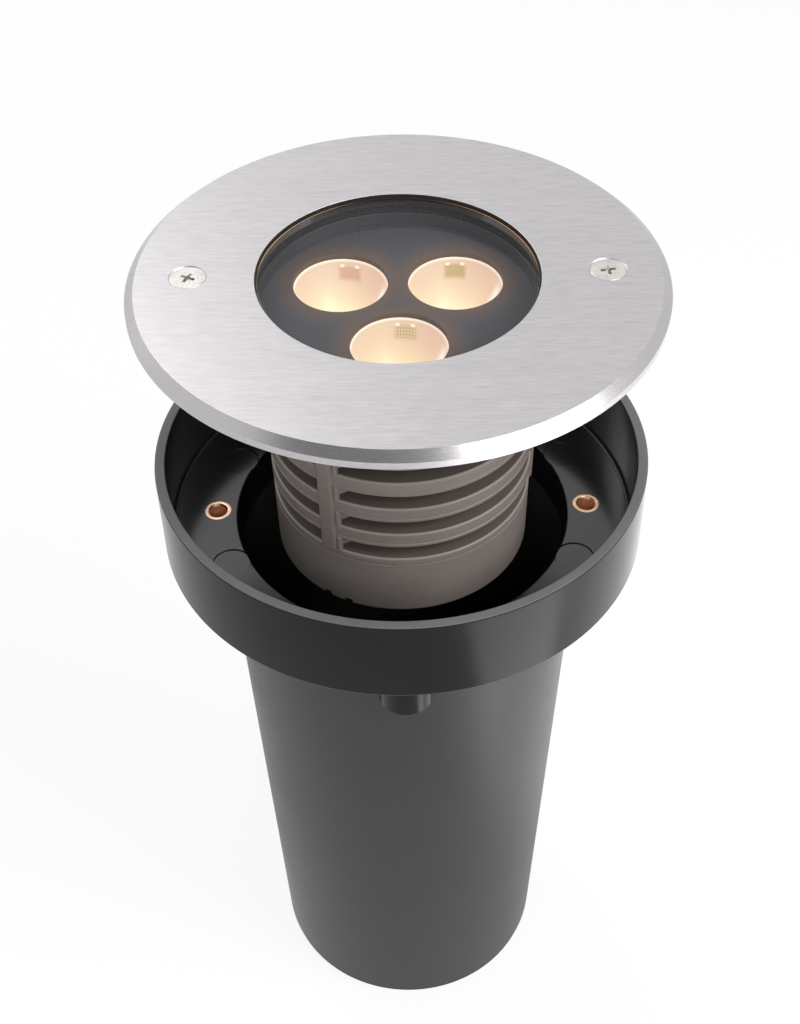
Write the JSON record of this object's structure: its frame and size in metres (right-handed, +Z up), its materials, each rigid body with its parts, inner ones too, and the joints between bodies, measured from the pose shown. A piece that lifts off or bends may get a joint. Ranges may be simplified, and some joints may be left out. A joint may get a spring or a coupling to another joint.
{
  "type": "in ground well light",
  "caption": "Round in-ground uplight: stainless bezel, stepped glass, warm LED optics in a finned housing, lifting out of a buried plastic pot.",
  "frame": {"origin": "on the pot's axis, on the ground under its base", "axes": "+Z up along the common axis of pot and luminaire, +X through the right bezel screw, -Y towards the front optic"},
  "size_m": [0.12, 0.12, 0.242],
  "materials": {
    "pot_black": "satin black moulded plastic",
    "pot_grey": "satin dark grey moulded plastic",
    "rubber_black": "matt black rubber",
    "insert_brass": "turned brass with a coppery tone",
    "brushed_bezel": "stainless steel, straight brushed",
    "fastener_steel": "plain stainless steel",
    "screw_steel": "plain stainless steel",
    "silicone_black": "black silicone",
    "clear_glass": "clear toughened glass",
    "anthracite": "dull anthracite",
    "warm_optic": "warm cream reflector",
    "warm_led": "warm white light source",
    "board_white": "white solder mask",
    "pad_grey": "soft grey pad",
    "lead_insulation": "red silicone insulation",
    "housing_paint": "warm grey-brown paint, satin",
    "board_green": "green circuit board",
    "component_dark": "dark component",
    "terminal_white": "white terminal block",
    "gland_plastic": "black polyamide"
  },
  "bodies": {
    "pot": {"pot_collar": "pot_black", "pot_barrel": "pot_grey", "pot_base": "pot_grey", "cable_grommet": "rubber_black", "insert_left": "insert_brass", "insert_right": "insert_brass"},
    "luminaire": {"bezel_ring": "brushed_bezel", "bezel_studs": "fastener_steel", "stud_nuts": "fastener_steel", "front_gasket": "silicone_black", "front_glass": "clear_glass", "rear_gasket": "silicone_black", "trim_ring": "anthracite", "lens_plate": "anthracite", "optic_left": "warm_optic", "optic_right": "warm_optic", "optic_front": "warm_optic", "light_source_left": "warm_led", "light_source_right": "warm_led", "light_source_front": "warm_led", "led_board": "board_white", "thermal_pad": "pad_grey", "board_screws": "fastener_steel", "led_leads": "lead_insulation", "heatsink_housing": "housing_paint", "housing_o_ring": "silicone_black", "rear_cover": "housing_paint", "cover_screws": "fastener_steel", "driver_board": "board_green", "driver_choke": "component_dark", "driver_capacitors": "component_dark", "mains_terminal": "terminal_white", "gland_body": "gland_plastic", "gland_locknut": "gland_plastic", "gland_seal": "rubber_black"},
    "gland_cap": {"gland_cap": "gland_plastic"},
    "screw_left": {"screw_left": "screw_steel", "retainer_left": "rubber_black"},
    "screw_right": {"screw_right": "screw_steel", "retainer_right": "rubber_black"}
  },
  "joints": [
    {"name": "luminaire_lift", "type": "slide", "parent": "pot", "child": "luminaire", "axis": [0, 0, 1], "range_m": [-0.0468, 0.06]},
    {"name": "screw_left_turn", "type": "hinge", "parent": "luminaire", "child": "screw_left", "pos_m": [-0.0462, 0, 0.2385], "axis": [0, 0, 1], "continuous": true},
    {"name": "screw_right_turn", "type": "hinge", "parent": "luminaire", "child": "screw_right", "pos_m": [0.0462, 0, 0.2385], "axis": [0, 0, 1], "continuous": true},
    {"name": "gland_cap_turn", "type": "hinge", "parent": "luminaire", "child": "gland_cap", "pos_m": [0, 0, 0.1562], "axis": [0, 0, 1], "continuous": true}
  ]
}
